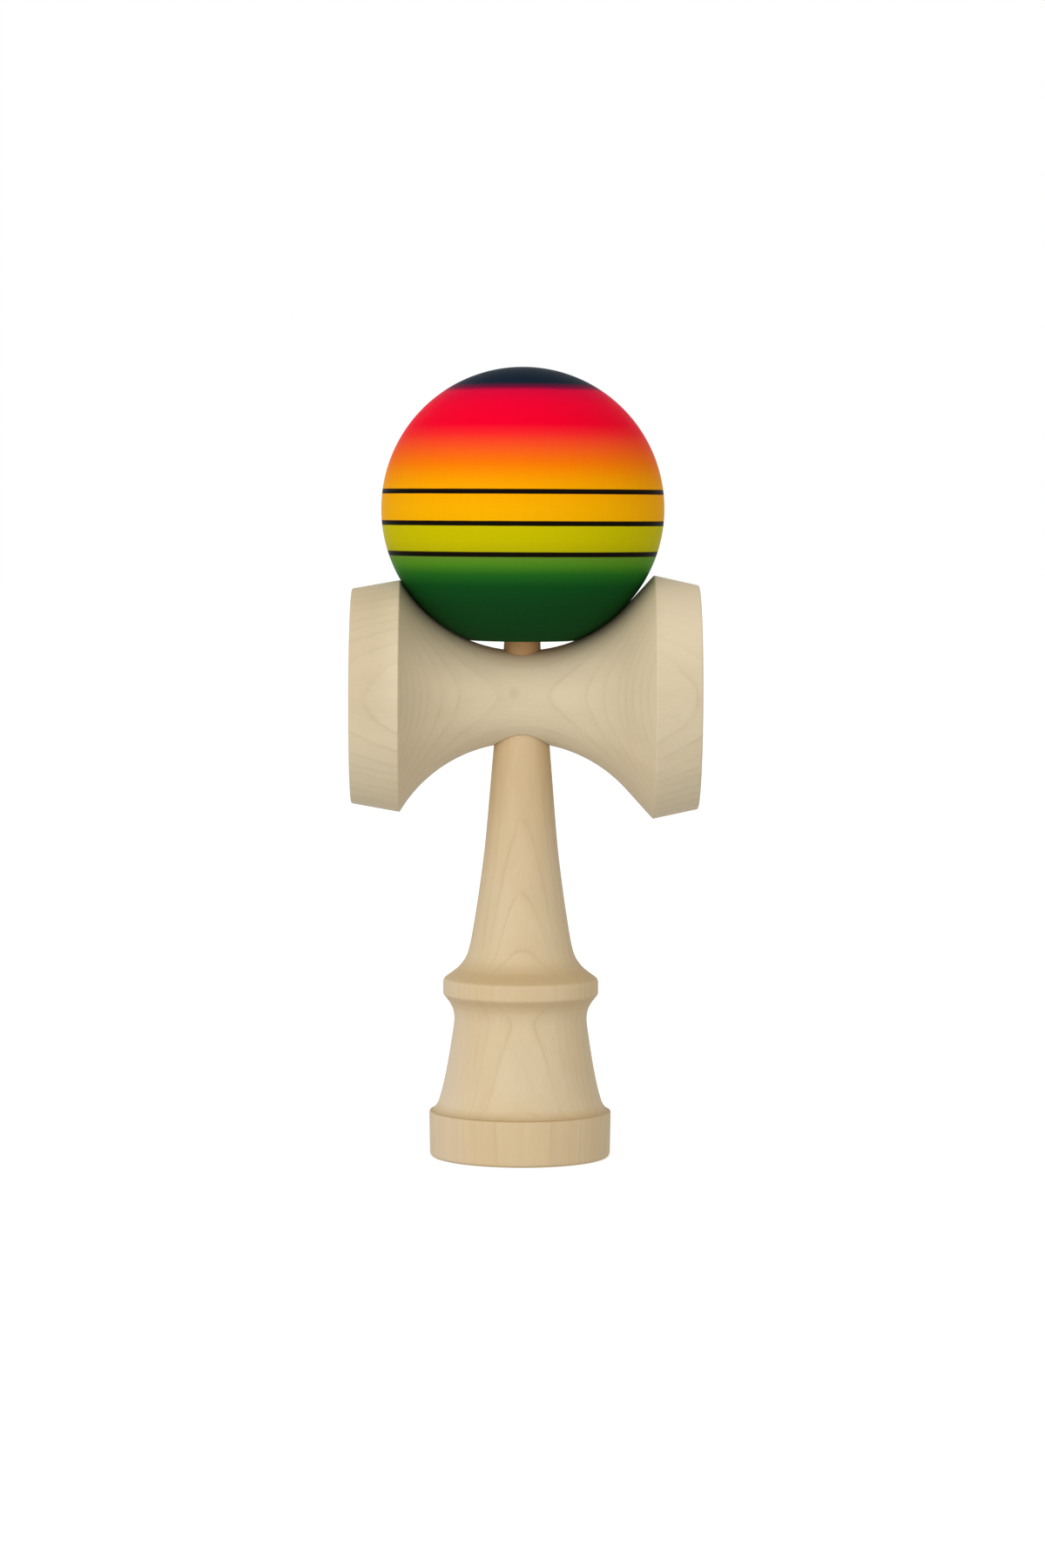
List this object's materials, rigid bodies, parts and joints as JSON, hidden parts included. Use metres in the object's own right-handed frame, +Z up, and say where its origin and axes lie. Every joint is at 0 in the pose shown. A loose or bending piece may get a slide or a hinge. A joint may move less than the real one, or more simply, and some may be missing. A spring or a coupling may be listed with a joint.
{
  "type": "kendama",
  "caption": "Wooden cup-and-ball skill toy: turned handle with a spike and a base cup, crosspiece with a cup at each end, and a drilled ball painted in colour bands.",
  "frame": {"origin": "centre of the base cup's rim, on the handle's axis, in the plane that the toy stands on", "axes": "+Z up along the handle to the ball, +X towards the big cup, +Y to the back, where the string's hole is"},
  "size_m": [0.0737, 0.06, 0.1679],
  "materials": {
    "handle_maple": "bare turned maple, fine sanded, matt",
    "crosspiece_maple": "bare turned maple, fine sanded, matt",
    "banded_paint": "satin paint on wood, blended from blue-black and red at the top through orange, yellow and lime to dark green at the bottom, with three thin black rings",
    "bead_wood": "bare turned beech"
  },
  "bodies": {
    "handle": {"ken_handle": "handle_maple"},
    "crosspiece": {"sarado_crosspiece": "crosspiece_maple"},
    "bead": {"string_bead": "bead_wood"},
    "ball": {"tama_ball": "banded_paint"}
  },
  "joints": [
    {"name": "sarado_pull", "type": "slide", "parent": "handle", "child": "crosspiece", "axis": [0, 0, 1], "range_m": [0, 0.08]},
    {"name": "tama_lift", "type": "slide", "parent": "crosspiece", "child": "bead", "axis": [0, 0, 1], "range_m": [0, 0.06]},
    {"name": "tama_spin", "type": "hinge", "parent": "bead", "child": "ball", "pos_m": [0, 0, 0.1379], "axis": [0, 0, 1], "continuous": true}
  ]
}
